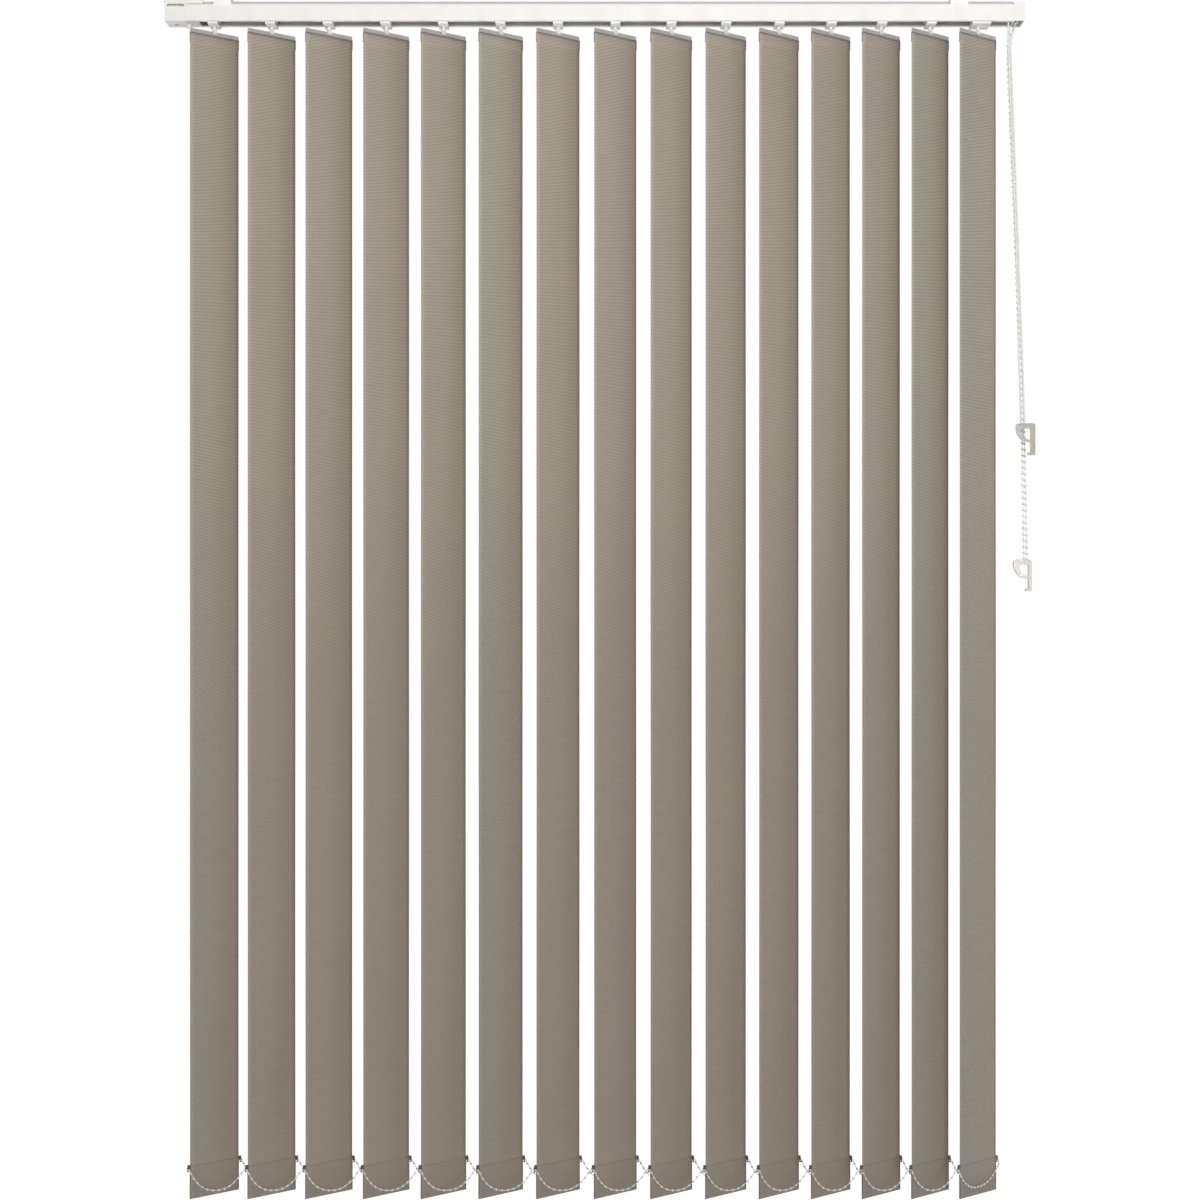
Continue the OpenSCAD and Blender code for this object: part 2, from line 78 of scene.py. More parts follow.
# Control chain and draw cord
CHAIN_BEAD_R = 2.0 * MM
CHAIN_PITCH = 8.45 * MM
CORD_R = 1.1 * MM
CORD_SIDES = 10
BRAID_PITCH = 2.4 * MM
BRAID_STRANDS = 8
HANGING_STEP = 2.0 * MM
RUN_STEP = 4.0 * MM

# Cloth: the pocket is half the width of the fold round the hanger and the weight.
VANE_W = 89 * MM
VANE_COLUMNS = 12
CLOTH_T = 0.5 * MM
POCKET = 0.9 * MM
TOP_POCKET_H = 14 * MM
HEM_H = 45 * MM
WAVE = 0.16 * MM
BOW = 0.12 * MM
RIB_PITCH = 4.3 * MM
RIB_LEAN = 0.3
RIB_TURN = 0.72
RIB_CLOSER = -0.02
RIB_WOBBLE = 2.4 * MM
WEFT_PITCH = 0.9 * MM
WARP_PITCH = 0.75 * MM
UV_STEP = 4.0

# Share of the cloth's tone that its ribs, threads and hem take or leave, and that painted shadow under the
# hanger takes
RIB_TONE = 0.095
THREAD_TONE = 0.04
# Painted shadow of the hanger along the cloth's top edge
HANGER_SHADOW_TONE = 0.62
HEM_TONE = 0.95
# The hem darkens towards its foot: the doubled cloth, and painted shade where the light falls off
HEM_FOOT_SHADE = 0.88
HEM_LINE_TONE = 0.82

# Camera, world and floor
SENSOR_MM = 36
LENS_MM = 89.03
CAMERA_PLACE = (0.0127, -4.104, -0.8281)
WORLD_LIGHT = 0.265
FLOOR_HALF = 12
FLOOR_DROP = 0.12
FLOOR_GREY = 0.82
FLOOR_GLOW = 1.1
FLOOR_WHITE = 0.9

# Parts of the CAD pieces that wear another finish than the rest of their node, found by height or width.
LEG_W = 4.3 * MM
BOWL_FADE = 5 * MM
STEM_TOP = -30 * MM
HANGER_TOP = -100 * MM
WEIGHT_LOW = -1643 * MM
STRIP_H = 1 * MM
# The rail's recess, found by height and depth, wears painted shade
RECESS_LOW = -9.1 * MM
RECESS_DEPTH = 4 * MM
SHELL_EDGE = 0.3 * MM
CLIP_EDGE = 0.6 * MM

nodes = frame["nodes"]
joints = {j["name"]: j for j in frame["joints"]}


def tag(i):
    return f"{i:02d}"


def axis_x(i):
    """Where vane i's stem stands along the rail at rest."""
    name = "tilt" if i == 1 else f"vane_{tag(i)}_tilt"
    return joints[name]["pos_m"][0]


front_pin = Vector(joints["front_link_chain_swing"]["pos_m"])
rear_pin = Vector(joints["rear_link_chain_swing"]["pos_m"])
ALONG = (rear_pin - front_pin).normalized()
NORMAL = Vector((-ALONG.y, ALONG.x, 0))
rail_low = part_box("head_rail")[0]
cloth_low, cloth_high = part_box("vane_01")


# Camera

def make_camera():
    """A long lens, level, opposite the blind's middle, as in the photograph."""
    data = bpy.data.cameras.new("camera")
    data.sensor_width = SENSOR_MM
    data.lens = LENS_MM
    camera = bpy.data.objects.new("camera", data)
    camera.location = CAMERA_PLACE
    camera.rotation_euler = (math.radians(90), 0, 0)
    bpy.context.scene.collection.objects.link(camera)
    bpy.context.scene.camera = camera


make_camera()


# Mesh helpers

class Shape:
    """Points, faces and UVs, in metres, gathered before they become one mesh."""

    def __init__(self):
        self.points, self.faces, self.uvs = [], [], []

    def grid(self, rows, uv, closed=False):
        """Faces between rows of points of equal length. uv(i, k) is in metres."""
        base, width = len(self.points), len(rows[0])
        for row in rows:
            self.points += [tuple(p) for p in row]
        across = width if closed else width - 1
        for i in range(len(rows) - 1):
            for k in range(across):
                k2 = (k + 1) % width
                corners = [(i, k), (i, k2), (i + 1, k2), (i + 1, k)]
                self.faces.append([base + r * width + c for r, c in corners])
                spots = [(i, k), (i, k + 1), (i + 1, k + 1), (i + 1, k)]
                self.uvs += [uv(r, c) for r, c in spots]

    def cap(self, first, count, flip=False):
        ids = list(range(first, first + count))
        self.faces.append(ids[::-1] if flip else ids)
        self.uvs += [(0, 0)] * count

    def mesh(self, name):
        data = bpy.data.meshes.new(name)
        data.from_pydata(self.points, [], self.faces)
        layer = data.uv_layers.new(name="metres")
        layer.data.foreach_set("uv", np.array(self.uvs, np.float32).ravel())
        for polygon in data.polygons:
            polygon.use_smooth = True
        data.update()
        piece = bpy.data.objects.new(name, data)
        bpy.context.scene.collection.objects.link(piece)
        return piece


def lengths(points):
    """How far each point lies along the line."""
    steps = [0.0]
    for a, b in zip(points, points[1:]):
        steps.append(steps[-1] + (b - a).length)
    return steps


def at_length(points, steps, s):
    """The point at length s along the line."""
    k = int(np.searchsorted(steps, s))
    k = min(max(k, 1), len(points) - 1)
    t = (s - steps[k - 1]) / max(steps[k] - steps[k - 1], 1e-12)
    return points[k - 1].lerp(points[k], min(max(t, 0), 1))


def smooth(points, step):
    """A smooth line through the points, cut into even steps."""
    fine = []
    for i in range(len(points) - 1):
        p1, p2 = points[i], points[i + 1]
        run = p2 - p1
        lead = (p1 - points[i - 1]) if i > 0 else run
        tail = (points[i + 2] - p2) if i + 2 < len(points) else run
        m1 = (lead.normalized() + run.normalized()) / 2 * min(run.length, 2 * lead.length)
        m2 = (tail.normalized() + run.normalized()) / 2 * min(run.length, 2 * tail.length)
        for k in range(12):
            t = k / 12
            a, b = 2 * t**3 - 3 * t**2 + 1, t**3 - 2 * t**2 + t
            fine.append(a * p1 + b * m1 + (1 - a) * p2 + (t**3 - t**2) * m2)
    fine.append(points[-1])
    steps = lengths(fine)
    count = max(2, round(steps[-1] / step))
    return [at_length(fine, steps, steps[-1] * k / count) for k in range(count + 1)]


def tube(shape, line, radius, sides):
    """A closed round tube along the line."""
    steps = lengths(line)
    side = (line[1] - line[0]).cross(Vector((0.21, 0.43, 0.88))).normalized()
    rows = []
    for i, p in enumerate(line):
        ahead = (line[min(i + 1, len(line) - 1)] - line[max(i - 1, 0)]).normalized()
        side = (side - ahead * ahead.dot(side)).normalized()
        up = ahead.cross(side)
        turns = [2 * math.pi * k / sides for k in range(sides)]
        rows.append([p + radius * (math.cos(a) * side + math.sin(a) * up) for a in turns])
    first = len(shape.points)
    round_it = 2 * math.pi * radius
    shape.grid(rows, lambda r, c: (c / sides * round_it, steps[r]), closed=True)
    shape.cap(first, sides, flip=True)
    shape.cap(first + (len(line) - 1) * sides, sides)


def bead(shape, centre, radius):
    """One round bead."""
    sides, rings = BEAD_SIDES, BEAD_RINGS
    rows = []
    for r in range(rings + 1):
        tilt = math.pi * min(max(r / rings, 0.03), 0.97)
        z, flat = math.cos(tilt) * radius, math.sin(tilt) * radius
        turns = [2 * math.pi * k / sides for k in range(sides)]
        rows.append([centre + Vector((flat * math.cos(a), flat * math.sin(a), z)) for a in turns])
    first = len(shape.points)
    shape.grid(rows, lambda r, c: (c / sides * radius, r / rings * radius), closed=True)
    shape.cap(first, sides, flip=True)
    shape.cap(first + rings * sides, sides)


def ring(shape, centre, inner, outer, height, sides=20):
    """A flat ring lying level, with softened edges."""
    turns = [2 * math.pi * k / sides for k in range(sides)]
    half, soft = height / 2, RING_SOFT
    outline = [
        (inner, -half + soft), (inner + soft, -half), (outer - soft, -half), (outer, -half + soft),
        (outer, half - soft), (outer - soft, half), (inner + soft, half), (inner, half - soft),
        (inner, -half + soft),
    ]
    rows = [
        [centre + Vector((r * math.cos(a), r * math.sin(a), z)) for a in turns] for r, z in outline
    ]
    shape.grid(rows[::-1], lambda r, c: (c * MM, r * MM), closed=True)


# Materials

def start(name):
    material = bpy.data.materials.new(name)
    material.use_nodes = True
    return material, material.node_tree, material.node_tree.nodes["Principled BSDF"]


def linear(red, green, blue):
    """A display colour from 0 to 255 as the shader's own numbers."""
    def one(v):
        v /= 255
        return v / 12.92 if v <= 0.04045 else ((v + 0.055) / 1.055) ** 2.4
    return (one(red), one(green), one(blue), 1)


def node(tree, kind, **settings):
    made = tree.nodes.new(kind)
    for key, value in settings.items():
        setattr(made, key, value)
    return made


def coordinates(tree, output, scale):
    """Texture coordinates, in metres, stretched by scale."""
    source = node(tree, "ShaderNodeTexCoord")
    mapping = node(tree, "ShaderNodeMapping")
    mapping.inputs["Scale"].default_value = scale
    tree.links.new(source.outputs[output], mapping.inputs["Vector"])
    return mapping.outputs["Vector"]


def noise(tree, output, scale, detail=2.0, roughness=0.5):
    made = node(tree, "ShaderNodeTexNoise")
    made.inputs["Scale"].default_value = 1.0
    made.inputs["Detail"].default_value = detail
    made.inputs["Roughness"].default_value = roughness
    tree.links.new(coordinates(tree, output, scale), made.inputs["Vector"])
    return made.outputs["Fac"]


def ramp(tree, value, stops):
    made = node(tree, "ShaderNodeValToRGB")
    elements = made.color_ramp.elements
    while len(elements) < len(stops):
        elements.new(0.5)
    for element, (place, colour) in zip(elements, stops):
        element.position = place
        element.color = colour
    tree.links.new(value, made.inputs["Fac"])
    return made.outputs["Color"]


def spread(tree, value, low, high):
    made = node(tree, "ShaderNodeMapRange")
    made.inputs["From Min"].default_value = 0.3
    made.inputs["From Max"].default_value = 0.7
    made.inputs["To Min"].default_value = low
    made.inputs["To Max"].default_value = high
    tree.links.new(value, made.inputs["Value"])
    return made.outputs["Result"]


def math_node(tree, operation, *values):
    made = node(tree, "ShaderNodeMath", operation=operation)
    for socket, value in zip(made.inputs, values):
        if isinstance(value, (int, float)):
            socket.default_value = value
        else:
            tree.links.new(value, socket)
    return made.outputs[0]


def mix_colour(tree, blend, amount, first, second):
    made = node(tree, "ShaderNodeMix", data_type="RGBA", blend_type=blend)
    for socket, value in ((made.inputs[0], amount), (made.inputs[6], first), (made.inputs[7], second)):
        if isinstance(value, (int, float, tuple)):
            socket.default_value = value
        else:
            tree.links.new(value, socket)
    return made.outputs[2]


def bump(tree, shader, height, strength, distance):
    made = node(tree, "ShaderNodeBump")
    made.inputs["Strength"].default_value = strength
    made.inputs["Distance"].default_value = distance
    tree.links.new(height, made.inputs["Height"])
    tree.links.new(made.outputs["Normal"], shader.inputs["Normal"])


def shade(colour, share):
    return tuple(min(1.0, c * share) for c in colour[:3]) + (1,)


def plain_finish(name, colour, rough, grain, depth, metal=0.0, stretch=(1, 1, 1)):
    """A moulded, painted or drawn surface: fine grain in its bump, gloss and tone."""
    material, tree, shader = start(name)
    fine = noise(tree, "Object", tuple(grain * s for s in stretch), 3, 0.6)
    broad = noise(tree, "Object", (38, 38, 38), 3, 0.55)
    tone = ramp(tree, broad, [(0.3, shade(colour, 0.965)), (0.7, shade(colour, 1.02))])
    tree.links.new(tone, shader.inputs["Base Color"])
    tree.links.new(spread(tree, fine, rough - 0.06, rough + 0.08), shader.inputs["Roughness"])
    shader.inputs["Metallic"].default_value = metal
    bump(tree, shader, fine, 0.25, depth)
    return material


def clear_finish(name, colour, rough, clear):
    """A milky clear moulding."""
    material = plain_finish(name, colour, rough, 900, 0.00002)
    shader = material.node_tree.nodes["Principled BSDF"]
    shader.inputs["Transmission Weight"].default_value = clear
    shader.inputs["IOR"].default_value = 1.49
    return material


def hold_down_finish(name, corner, turned):
    """Beige leg, clear bowl: corner is the leg's outer edge in mm, and turned its angle about z."""
    material, tree, shader = start(name)
    place = node(tree, "ShaderNodeTexCoord").outputs["Object"]
    mapping = node(tree, "ShaderNodeMapping", vector_type="TEXTURE")
    mapping.inputs["Location"].default_value = (corner[0] * MM, corner[1] * MM, 0)
    mapping.inputs["Rotation"].default_value = (0, 0, math.radians(turned))
    tree.links.new(place, mapping.inputs["Vector"])
    split = node(tree, "ShaderNodeSeparateXYZ")
    tree.links.new(mapping.outputs["Vector"], split.inputs[0])
    bowl = node(tree, "ShaderNodeMapRange")
    bowl.inputs["From Min"].default_value = -LEG_W
    bowl.inputs["From Max"].default_value = -LEG_W - BOWL_FADE
    tree.links.new(split.outputs[0], bowl.inputs["Value"])
    grain = noise(tree, "Object", (700, 700, 700), 3, 0.6)
    leg_tone = ramp(tree, grain, [(0.3, linear(186, 176, 164)), (0.7, linear(198, 188, 176))])
    tone = mix_colour(tree, "MIX", bowl.outputs["Result"], leg_tone, linear(222, 217, 210))
    tree.links.new(tone, shader.inputs["Base Color"])
    clear = math_node(tree, "MULTIPLY", bowl.outputs["Result"], 0.5)
    tree.links.new(clear, shader.inputs["Transmission Weight"])
    tree.links.new(spread(tree, grain, 0.2, 0.34), shader.inputs["Roughness"])
    shader.inputs["IOR"].default_value = 1.49
    bump(tree, shader, grain, 0.2, 0.00003)
    return material


def between(tree, value, start_at, end_at, low, high):
    """A smooth change from low to high as the value runs from start_at to end_at."""
    made = node(tree, "ShaderNodeMapRange", interpolation_type="SMOOTHSTEP")
    for name, number in (("From Min", start_at), ("From Max", end_at), ("To Min", low), ("To Max", high)):
        made.inputs[name].default_value = number
    tree.links.new(value, made.inputs["Value"])
    return made.outputs["Result"]


def darken(tree, tone, share):
    """The tone times a grey share."""
    grey = node(tree, "ShaderNodeCombineColor")
    for socket in grey.inputs:
        tree.links.new(share, socket)
    return mix_colour(tree, "MULTIPLY", 1.0, tone, grey.outputs[0])


def cloth_ribs(tree, across, height):
    """Soft ribs across the cloth: they rise at the top, turn and close up on the way down."""
    lean = math_node(tree, "MULTIPLY_ADD", height, -RIB_TURN, RIB_LEAN)
    wobble = math_node(tree, "MULTIPLY", noise(tree, "UV", (22, 18, 1), 2, 0.5), RIB_WOBBLE)
    level = math_node(tree, "ADD", height, math_node(tree, "MULTIPLY", lean, across))
    closer = math_node(tree, "MULTIPLY_ADD", height, RIB_CLOSER, 1.0)
    level = math_node(tree, "MULTIPLY", math_node(tree, "ADD", level, wobble), closer)
    return math_node(tree, "SINE", math_node(tree, "MULTIPLY", level, 2 * math.pi / RIB_PITCH))


def cloth_finish():
    """Stiffened taupe cloth: ribs, slubs and a fine weave, painted shadow under the hanger along the top,
    and a doubled hem that darkens towards its foot, partly painted shade.
    """
    material, tree, shader = start("vane_cloth")
    base = linear(175, 164, 151)
    slub = noise(tree, "UV", (26, 330, 1), 4, 0.62)
    tone = ramp(tree, slub, [(0.28, shade(base, 0.95)), (0.5, base), (0.74, shade(base, 1.04))])
    cloudy = noise(tree, "UV", (9, 5, 1), 3, 0.5)
    drift = ramp(tree, cloudy, [(0.3, (0.96, 0.96, 0.965, 1)), (0.7, (1, 1, 1, 1))])
    tone = mix_colour(tree, "MULTIPLY", 1.0, tone, drift)
    split = node(tree, "ShaderNodeSeparateXYZ")
    tree.links.new(node(tree, "ShaderNodeTexCoord").outputs["UV"], split.inputs[0])
    across, down = split.outputs[0], split.outputs[1]
    whole = math_node(tree, "FRACT", math_node(tree, "DIVIDE", down, UV_STEP))
    height = math_node(tree, "MULTIPLY", whole, UV_STEP)
    weft = math_node(tree, "SINE", math_node(tree, "MULTIPLY", down, 2 * math.pi / WEFT_PITCH))
    warp = math_node(tree, "SINE", math_node(tree, "MULTIPLY", across, 2 * math.pi / WARP_PITCH))
    weave = math_node(tree, "MULTIPLY", weft, warp)
    ribs = cloth_ribs(tree, across, height)
    threads = math_node(tree, "MULTIPLY_ADD", weave, THREAD_TONE, 0.97)
    tone = darken(tree, tone, math_node(tree, "MULTIPLY_ADD", ribs, RIB_TONE, threads))
    hem = cloth_high.z - cloth_low.z - HEM_H
    # Painted shadow under the hanger along the cloth's top
    tone = darken(tree, tone, between(tree, height, 0.8 * MM, 3.2 * MM, HANGER_SHADOW_TONE, 1.0))
    tone = darken(tree, tone, between(tree, height, hem - 1 * MM, hem + 1 * MM, 1.0, HEM_TONE))
    # Darker towards the hem's foot: doubled cloth, and painted shade where the light falls off
    tone = darken(tree, tone, between(tree, height, hem, hem + HEM_H, 1.0, HEM_FOOT_SHADE))
    off_line = math_node(tree, "ABSOLUTE", math_node(tree, "SUBTRACT", height, hem))
    tone = darken(tree, tone, between(tree, off_line, 0.3 * MM, 1.0 * MM, HEM_LINE_TONE, 1.0))
    tree.links.new(tone, shader.inputs["Base Color"])
    shader.inputs["Roughness"].default_value = 0.88
    shader.inputs["Specular IOR Level"].default_value = 0.25
    shader.inputs["Sheen Weight"].default_value = 0.08
    rough = math_node(tree, "ADD", math_node(tree, "MULTIPLY", weave, 0.35), slub)
    bump(tree, shader, math_node(tree, "MULTIPLY_ADD", ribs, 0.4, rough), 0.35, 0.00025)
    return material


def braid_finish():
    """Off-white braided cord: two sets of strands that cross."""
    material, tree, shader = start("braided_cord")
    uv = node(tree, "ShaderNodeTexCoord").outputs["UV"]
    split = node(tree, "ShaderNodeSeparateXYZ")
    tree.links.new(uv, split.inputs[0])
    turn = math_node(tree, "MULTIPLY", split.outputs[0], BRAID_STRANDS / (2 * CORD_R))
    run = math_node(tree, "MULTIPLY", split.outputs[1], 2 * math.pi / BRAID_PITCH)
    left = math_node(tree, "SINE", math_node(tree, "ADD", run, turn))
    right = math_node(tree, "SINE", math_node(tree, "SUBTRACT", run, turn))
    strands = math_node(tree, "MULTIPLY_ADD", math_node(tree, "MULTIPLY", left, right), 0.5, 0.5)
    base = linear(238, 236, 231)
    tone = ramp(tree, strands, [(0.0, shade(base, 0.8)), (0.6, base), (1.0, shade(base, 1.08))])
    tree.links.new(tone, shader.inputs["Base Color"])
    shader.inputs["Roughness"].default_value = 0.75
    bump(tree, shader, strands, 0.5, 0.0002)
    return material


WHITE_METAL = plain_finish("white_metal", linear(234, 231, 226), 0.42, 1300, 0.00003)
# A lighter copy of the white metal: painted light that sets the clips off the rail's face
BRACKET_LIT_METAL = plain_finish("bracket_painted_light", linear(241, 239, 235), 0.42, 1300, 0.00003)
# A greyer copy of the white metal: painted shade for the recess along the rail's top edge
RECESS_SHADE_METAL = plain_finish("recess_painted_shade", linear(206, 203, 198), 0.5, 1300, 0.00003)
WHITE_PLASTIC = plain_finish("white_plastic", linear(232, 230, 225), 0.45, 1700, 0.00002)
GREY_PLASTIC = clear_finish("grey_plastic", linear(198, 195, 192), 0.35, 0.4)
DARK_PLASTIC = plain_finish("weight_plastic", linear(92, 82, 72), 0.5, 1500, 0.00003)
BRIGHT_ROD = plain_finish("bright_rod", linear(200, 202, 204), 0.32, 90, 0.00002, 1.0, (0.3, 16, 16))
BEAD_PLASTIC = plain_finish("bead_plastic", linear(238, 236, 229), 0.3, 1600, 0.00001)
BRAID = braid_finish()
CLOTH = cloth_finish()


def wear(piece, material):
    piece.data.materials.clear()
    piece.data.materials.append(material)


# Cords: the routes of the part's source, moved by a millimetre or two where the photograph shows them apart

def metres(*points):
    return [Vector(p) * MM for p in points]


def arc(centre, radius, angles, across, up):
    """Points on a round turn, in mm."""
    return [
        tuple(Vector(centre) + radius * (math.cos(math.radians(a)) * Vector(across)
                                         + math.sin(math.radians(a)) * Vector(up)))
        for a in angles
    ]


X, Y, Z = (1, 0, 0), (0, 1, 0), (0, 0, 1)
CORD_LOW, CORD_LOW_X, CORD_LOOP = -585.6, 595.6, 2.6
CHAIN_LOW, CHAIN_LOW_X, CHAIN_LOOP = -772.2, 602.2, 2.2

cord_hanging = metres(
    *arc((571.8, -12.6, -24), 4, (45, 22.5, 0), X, Z),
    (575.6, -12.6, -36), (575.2, -12.2, -50), (585.8, -11.5, -317.8),
    *arc((CORD_LOW_X, -11, CORD_LOW), CORD_LOOP, (180, 216, 252, 288, 324, 360), X, Z),
    (588.8, -10.5, -317.8), (578.2, -9.8, -50), (576.7, -9, -36),
    *arc((571.8, -9, -24), 4, (0, 22.5, 45), X, Z),
)
cord_front_run = metres(
    *arc((-568, -10.8, -20), 4.2, (181, 203.2, 225.4, 247.6, 269.8), X, Y),
    (-554, -14.2, -20), (-528, -12.6, -20), (-520.4, -12.6, -20), (0, -12.6, -20),
    *arc((571.8, -12.6, -24), 4, (90, 67.5, 45), X, Z),
)
cord_rear_run = metres(
    *arc((571.8, -9, -24), 4, (45, 67.5, 90), X, Z),
    (0, -9, -20), (-520.4, -9, -20), (-528, -9, -20), (-554, -7.4, -20),
    *arc((-568, -10.8, -20), 4.2, (89, 111.2, 133.4, 155.6, 177.8), X, Y),
)
chain_hanging = metres(
    *arc((587.7, 10, -20), 6.5, (91, 108.8, 126.6, 144.4, 162.2, 180), Y, Z),
    (587.6, 3.5, -31), (584.6, 3.4, -41), (577.6, 3.2, -60), (576.8, 3.2, -76),
    (579.8, 3.6, -150), (590.6, 6, -411.1), (597.2, 8, -600),
    *[(CHAIN_LOW_X + CHAIN_LOOP * math.cos(math.radians(a)), 10 + 1.2 * math.cos(math.radians(a)),
       CHAIN_LOW + CHAIN_LOOP * math.sin(math.radians(a))) for a in (180, 216, 252, 288, 324, 360)],
    (601, 12, -600), (594.2, 13.8, -411.1), (584.7, 15.6, -150), (581.9, 15.9, -76), (582.5, 16, -60),
    (585.7, 16.3, -41), (587.6, 16.5, -31),
    *arc((587.7, 10, -20), 6.5, (0, 17.8, 35.6, 53.4, 71.2, 89), Y, Z),
)


def make_draw_cord():
    """The loop that hangs from the pulleys, and the two runs along the rail."""
    line = smooth(cord_hanging, HANGING_STEP)
    shape = Shape()
    tube(shape, line, CORD_R, CORD_SIDES)
    loop = shape.mesh("draw_cord_loop")
    wear(loop, BRAID)
    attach(loop, "rail")
    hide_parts("draw_cord")
    shape = Shape()
    for route in (cord_front_run, cord_rear_run):
        tube(shape, smooth(route, RUN_STEP), CORD_R, CORD_SIDES)
    runs = shape.mesh("draw_cord_runs")
    wear(runs, BRAID)
    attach(runs, "rail")


def make_control_chain():
    """Beads on a thread, over the wheel and down to the hold-down."""
    line = smooth(chain_hanging, HANGING_STEP)
    steps = lengths(line)
    shape = Shape()
    tube(shape, line, THREAD_R, THREAD_SIDES)
    count = math.floor(steps[-1] / CHAIN_PITCH)
    lead = (steps[-1] - count * CHAIN_PITCH) / 2
    for k in range(count + 1):
        bead(shape, at_length(line, steps, lead + k * CHAIN_PITCH), CHAIN_BEAD_R)
    chain = shape.mesh("control_chain_loop")
    wear(chain, BEAD_PLASTIC)
    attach(chain, "rail")
    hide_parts("control_chain")


make_draw_cord()
make_control_chain()


# Link chains between the vanes' hems

def hanging_line(a, b, sag, cuts=60):
    """A hanging length, steeper at its first pin."""
    places = [k / cuts for k in range(cuts + 1)]
    falls = [t ** LINK_LEAN for t in places]
    depths = [sag * (1 - abs(2 * fall - 1) ** LINK_ROUND) for fall in falls]
    return [a.lerp(b, t) - Vector((0, 0, depth)) for t, depth in zip(places, depths)]


def make_link_chain(side, pin):
    """One mesh for each length, carried with its side's link chain."""
    for i in range(1, VANES + 1):
        start_at = pin + Vector((axis_x(i) - axis_x(1), 0, 0))
        shape = Shape()
        ring(shape, start_at, RING_INNER, RING_OUTER, RING_H)
        if i < VANES:
            gap = axis_x(i + 1) - axis_x(i)
            line = hanging_line(start_at + Vector((THREAD_START, 0, 0)),
                                start_at + Vector((gap - THREAD_END, 0, 0)), LINK_SAG)
            steps = lengths(line)
            tube(shape, line, THREAD_R, THREAD_SIDES)
            count = math.floor((steps[-1] - LINK_BARE) / LINK_PITCH)
            lead = (steps[-1] - count * LINK_PITCH) / 2
            for k in range(count + 1):
                bead(shape, at_length(line, steps, lead + k * LINK_PITCH), LINK_BEAD_R)
        piece = shape.mesh(f"{side}_link_{tag(i)}")
        wear(piece, BEAD_PLASTIC)
        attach(piece, f"{side}_link_chain")
        if i == 1:
            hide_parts(f"{side}_link_chain")
        close_up(piece)


def close_up(piece):
    """Gives the length its own copy of its mesh."""
    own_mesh(piece)


make_link_chain("front", front_pin)
make_link_chain("rear", rear_pin)


# Cloth vanes

def cloth_rows():
    """The cloth's path in section, as (offset, height): the main sheet, then the back strip of the top."""
    top, low = cloth_high.z, cloth_low.z
    hem_top = low + HEM_H
    soft = 3.0 * MM
    sheet = [(-POCKET, top), (-POCKET, top - 5 * MM), (-POCKET, top - TOP_POCKET_H + soft)]
    sheet += [(-0.6 * POCKET, top - TOP_POCKET_H + 1 * MM), (-0.1 * POCKET, top - TOP_POCKET_H - 1 * MM)]
    panel_top, panel_low = top - TOP_POCKET_H - soft, hem_top + soft
    cuts = 72
    sheet += [(0.0, panel_top + (panel_low - panel_top) * k / cuts) for k in range(cuts + 1)]
    sheet += [(-0.15 * POCKET, hem_top + 1 * MM), (-0.75 * POCKET, hem_top - 0.4 * MM)]
    sheet += [(-POCKET, hem_top - 1.5 * MM)]
    cuts = 6
    hem_low = low + CLOTH_T / 2
    sheet += [(-POCKET, hem_top - (hem_top - hem_low - POCKET) * k / cuts) for k in range(1, cuts + 1)]
    for a in (210, 240, 270, 300, 330):
        turn = math.radians(a)
        sheet.append((POCKET * math.cos(turn), hem_low + POCKET + POCKET * math.sin(turn)))
    sheet += [(POCKET, hem_low + POCKET + (hem_top - hem_low - POCKET) * k / cuts) for k in range(cuts)]
    sheet += [(POCKET, hem_top - 1.5 * MM), (0.75 * POCKET, hem_top - 0.3 * MM)]
    sheet += [(0.42 * POCKET, hem_top + 1 * MM)]
    strip = [(POCKET, top), (POCKET, top - 5 * MM), (POCKET, top - TOP_POCKET_H + soft)]
    strip += [(0.7 * POCKET, top - TOP_POCKET_H + 1 * MM), (0.42 * POCKET, top - TOP_POCKET_H - 0.5 * MM)]
    return sheet, strip


def make_vane(i, rows, seed):
    """One vane's cloth, folded round its hanger and weight, with a slight wave of its own."""
    chance = random.Random(seed)
    phase, bow = chance.uniform(0, 6.3), chance.uniform(-BOW, BOW)
    half = VANE_W / 2
    stem = Vector((axis_x(i), 0, 0))
    top, low = cloth_high.z, cloth_low.z
    shape = Shape()
    total = 0.0
    for path in rows:
        grid = []
        flat = lengths([Vector((n, 0, z)) for n, z in path])
        for n, z in path:
            share = (top - z) / (top - low)
            calm = math.sin(math.pi * min(max(share, 0), 1)) if abs(n) < 0.2 * POCKET else 0.0
            row = []
            for c in range(VANE_COLUMNS + 1):
                u = -half + VANE_W * c / VANE_COLUMNS
                wave = WAVE * math.sin(9 * z + phase + 20 * u) + bow * (u / half) ** 2
                row.append(stem + ALONG * u + NORMAL * (n + calm * wave) + Vector((0, 0, z)))
            grid.append(row)
        shift = total + i * UV_STEP
        shape.grid(grid, lambda r, c: (VANE_W * c / VANE_COLUMNS, flat[r] + shift))
        total += flat[-1]
    piece = shape.mesh(f"vane_cloth_{tag(i)}")
    thick = piece.modifiers.new("thickness", "SOLIDIFY")
    thick.thickness = CLOTH_T
    thick.offset = 0
    wear(piece, CLOTH)
    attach(piece, f"vane_{tag(i)}")
    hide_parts(f"vane_{tag(i)}")


for number in range(1, VANES + 1):
    make_vane(number, cloth_rows(), number)


# Finishes of the CAD pieces

